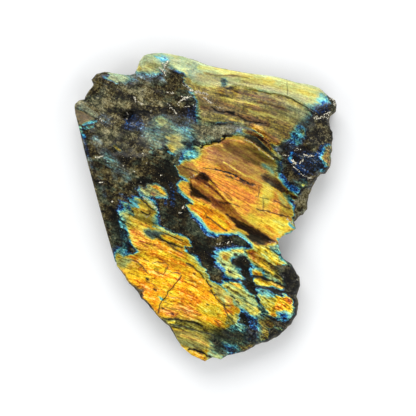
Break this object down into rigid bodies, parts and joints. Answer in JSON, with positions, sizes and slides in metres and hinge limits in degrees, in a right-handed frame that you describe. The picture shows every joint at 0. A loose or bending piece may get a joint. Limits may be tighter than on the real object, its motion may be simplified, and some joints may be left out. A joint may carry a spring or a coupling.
{
  "type": "labradorite slab",
  "caption": "Irregular natural slab of labradorite with a wavy polished face, broken edges, one straight sawn side and a flat sawn back.",
  "frame": {"origin": "middle of the outline's box, on the sawn back that the stone lies on", "axes": "+Z out of the polished face, +Y along the stone towards its wide end, +X across it away from the sawn side"},
  "size_m": [0.13, 0.1536, 0.0218],
  "materials": {
    "labradorite": "semi-polished dark feldspar with gold, green and blue flashes; broken edges matt"
  },
  "bodies": {
    "root": {"labradorite_slab": "labradorite"}
  },
  "joints": []
}
